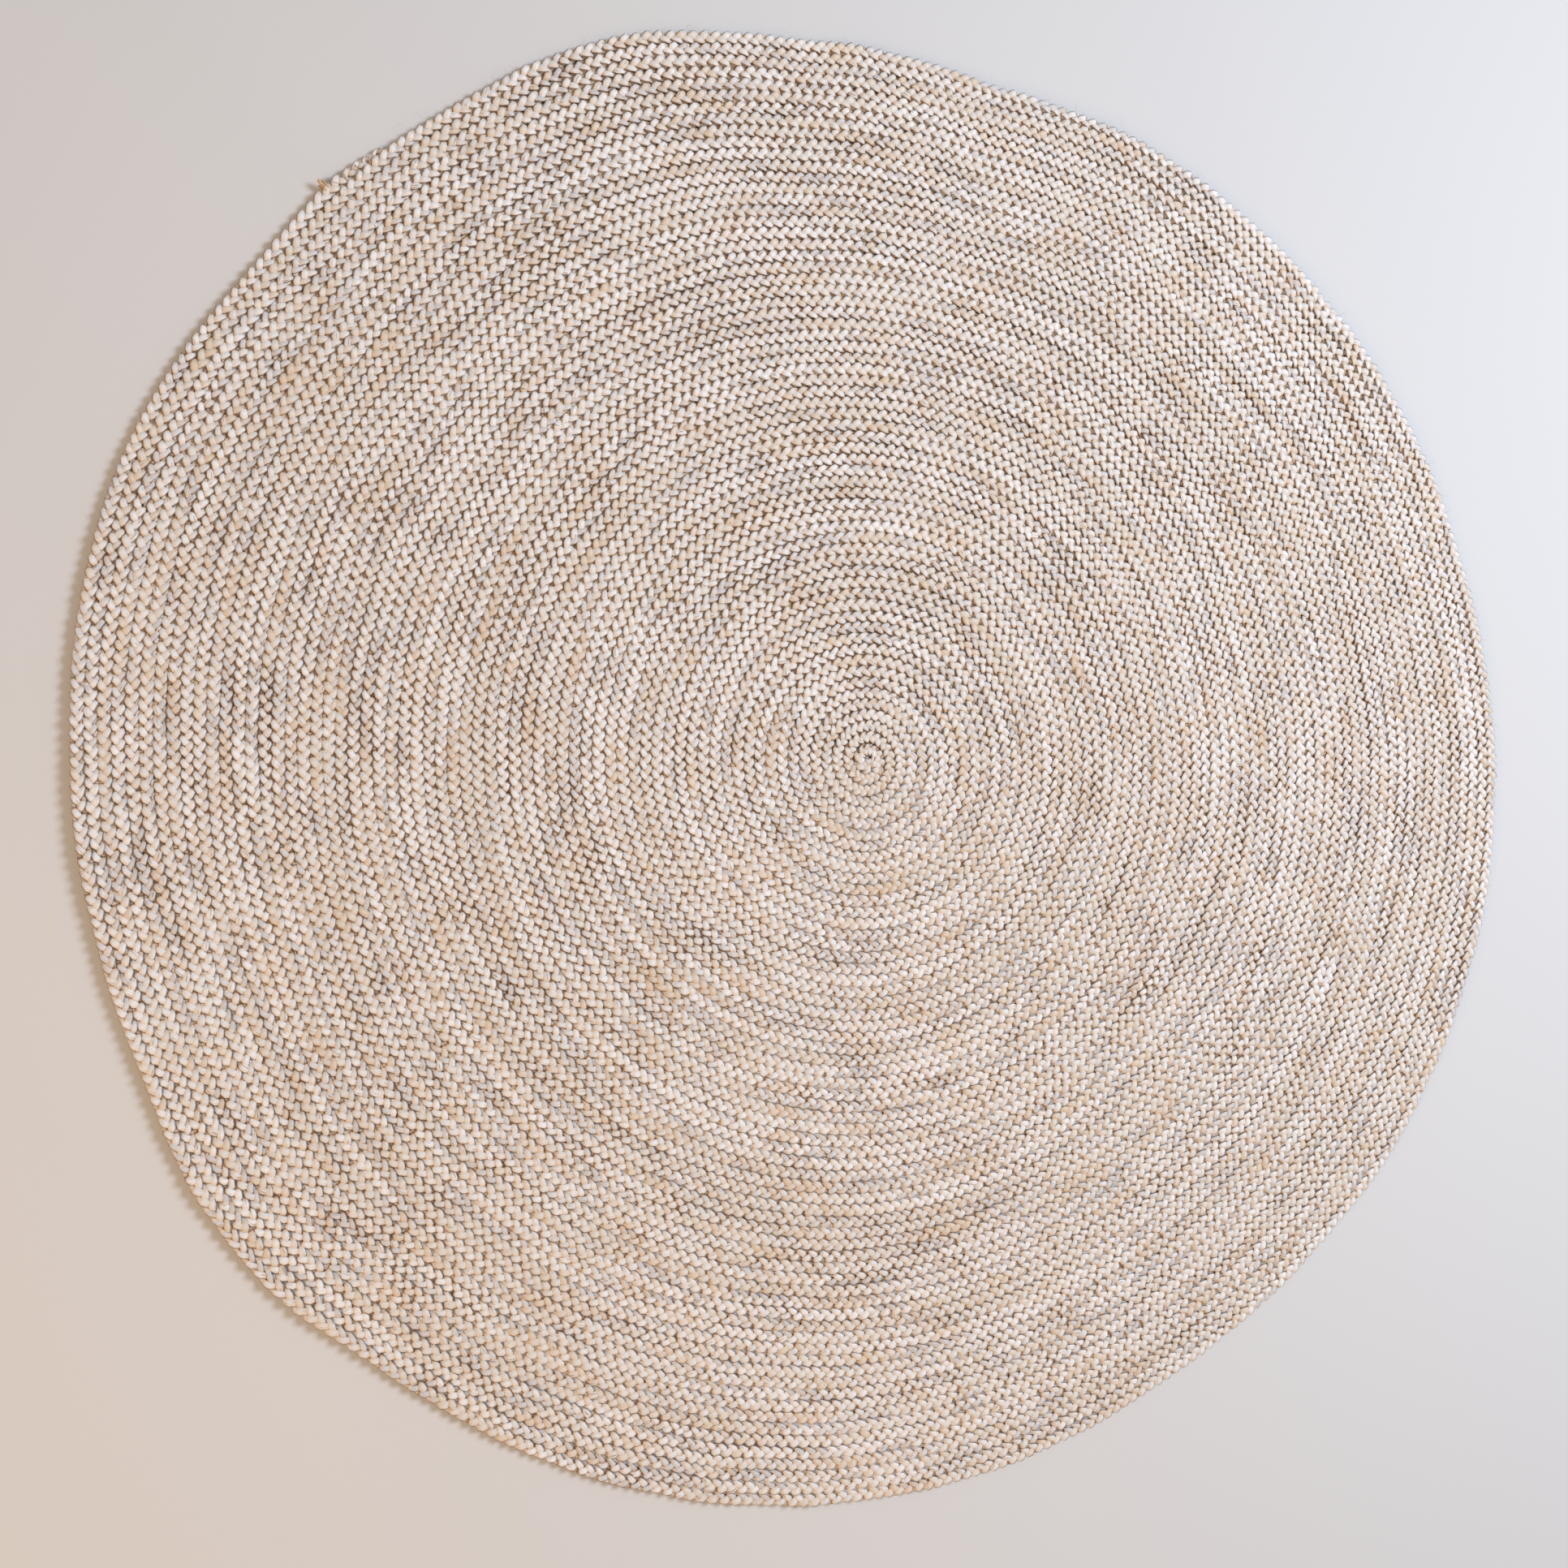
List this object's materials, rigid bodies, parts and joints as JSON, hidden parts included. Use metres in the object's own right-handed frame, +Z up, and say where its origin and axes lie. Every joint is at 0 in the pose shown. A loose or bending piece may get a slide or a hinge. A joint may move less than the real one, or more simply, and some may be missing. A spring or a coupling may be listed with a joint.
{
  "type": "round braided rug",
  "caption": "Round flat area rug made of one three-strand jute plait wound in a spiral, with a thread in the seam and a tucked tail at the rim",
  "frame": {"origin": "middle of the spiral, on the underside, where the rug meets the floor", "axes": "+Z is up, out of the walking face; +Y is the far side as one looks at the rug and +X is to the right; the plait's tail ends 134 degrees counterclockwise from +X"},
  "size_m": [1.4993, 1.4911, 0.009],
  "materials": {
    "jute_plait": "matt",
    "sewing_thread": "matt"
  },
  "bodies": {
    "root": {"centre_start": "jute_plait", "plait_turns_01_02": "jute_plait", "plait_turns_03_04": "jute_plait", "plait_turns_05_06": "jute_plait", "plait_turns_07_08": "jute_plait", "plait_turns_09_10": "jute_plait", "plait_turns_11_12": "jute_plait", "plait_turns_13_14": "jute_plait", "plait_turns_15_16": "jute_plait", "plait_turns_17_18": "jute_plait", "plait_turns_19_20": "jute_plait", "plait_turns_21_22": "jute_plait", "plait_turns_23_24": "jute_plait", "plait_turns_25_26": "jute_plait", "plait_turns_27_28": "jute_plait", "plait_turns_29_30": "jute_plait", "plait_turns_31_32": "jute_plait", "plait_turns_33_34": "jute_plait", "plait_turns_35_36": "jute_plait", "plait_turns_37_38": "jute_plait", "plait_turns_39_40": "jute_plait", "plait_turns_41_42": "jute_plait", "plait_turns_43_44": "jute_plait", "plait_turns_45_46": "jute_plait", "plait_turns_47_48": "jute_plait", "plait_turns_49_50": "jute_plait", "plait_turns_51_52": "jute_plait", "plait_turns_53_54": "jute_plait", "plait_turns_55_56": "jute_plait", "plait_turns_57_58": "jute_plait", "plait_turns_59_60": "jute_plait", "plait_turns_61_62": "jute_plait", "plait_turns_63_64": "jute_plait", "seam_thread_01_04": "sewing_thread", "seam_thread_05_08": "sewing_thread", "seam_thread_09_12": "sewing_thread", "seam_thread_13_16": "sewing_thread", "seam_thread_17_20": "sewing_thread", "seam_thread_21_24": "sewing_thread", "seam_thread_25_28": "sewing_thread", "seam_thread_29_32": "sewing_thread", "seam_thread_33_36": "sewing_thread", "seam_thread_37_40": "sewing_thread", "seam_thread_41_44": "sewing_thread", "seam_thread_45_48": "sewing_thread", "seam_thread_49_52": "sewing_thread", "seam_thread_53_56": "sewing_thread", "seam_thread_57_60": "sewing_thread", "seam_thread_61_64": "sewing_thread", "tail_end": "jute_plait", "tail_stitches": "sewing_thread"}
  },
  "joints": []
}
